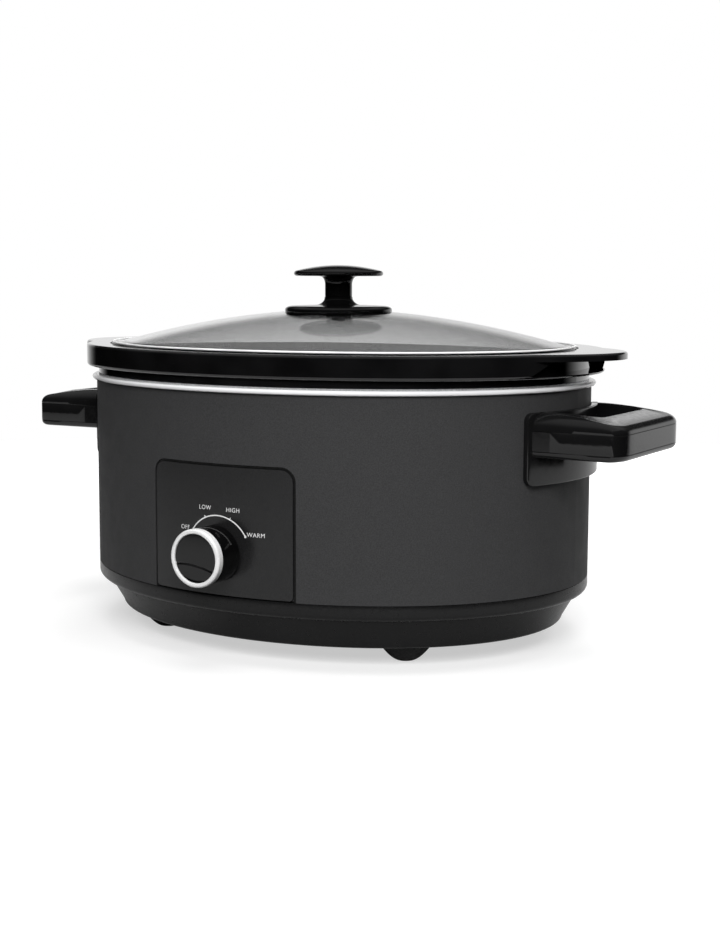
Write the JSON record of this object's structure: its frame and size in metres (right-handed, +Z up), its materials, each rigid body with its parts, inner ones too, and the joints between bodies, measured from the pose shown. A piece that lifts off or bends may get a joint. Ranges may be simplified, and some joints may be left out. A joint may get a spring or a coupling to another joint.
{
  "type": "slow cooker",
  "caption": "Oval electric slow cooker: heated base with side handles and front dial, lift-out stoneware crock with lifting lugs, domed glass lid with a knob.",
  "frame": {"origin": "on the standing surface, under the centre of the oval body", "axes": "+X to the right handle, +Y to the back, +Z up; the control panel faces -Y"},
  "size_m": [0.475, 0.3318, 0.2592],
  "materials": {
    "shell": "matte charcoal powder coat",
    "base": "semi-gloss black moulded plastic",
    "chrome": "bright polished plate",
    "liner": "drawn sheet",
    "heater": "foil wrapped band",
    "steel": "zinc plated",
    "block": "moulded insulator",
    "rubber": "moulded, dull",
    "panel": "satin black",
    "knob": "gloss black",
    "handle": "gloss black",
    "crock": "gloss black glaze",
    "glass": "clear tempered"
  },
  "bodies": {
    "cooker_base": {"base_pan": "base", "outer_shell": "shell", "trim_ring": "chrome", "heating_liner": "liner", "heater_band": "heater", "liner_studs": "steel", "stud_spacers": "steel", "stud_nuts": "steel", "thermal_fuse": "steel", "fuse_clip": "steel", "terminal_block": "block", "cord_gland": "rubber", "control_panel": "panel", "rotary_switch": "block", "switch_nut": "steel", "handle_right": "handle", "handle_left": "handle", "handle_plate_right": "steel", "handle_plate_left": "steel", "handle_screws": "steel", "foot_front_left": "rubber", "foot_front_right": "rubber", "foot_rear_left": "rubber", "foot_rear_right": "rubber"},
    "dial": {"switch_shaft": "steel", "control_knob": "knob", "knob_trim_ring": "chrome", "knob_face": "knob"},
    "crock_pot": {"crock": "crock"},
    "lid": {"lid_glass": "glass", "lid_knob_base": "knob", "lid_knob_grip": "knob", "lid_knob_screw": "steel", "lid_knob_washer": "rubber"}
  },
  "joints": [
    {"name": "dial_turn", "type": "hinge", "parent": "cooker_base", "child": "dial", "pos_m": [0, -0.1767, 0.074], "axis": [0, 1, 0], "range_deg": [0, 120]},
    {"name": "crock_lift", "type": "slide", "parent": "cooker_base", "child": "crock_pot", "axis": [0, 0, 1], "range_m": [0, 0.16]},
    {"name": "lid_lift", "type": "slide", "parent": "crock_pot", "child": "lid", "axis": [0, 0, 1], "range_m": [0, 0.12]}
  ]
}
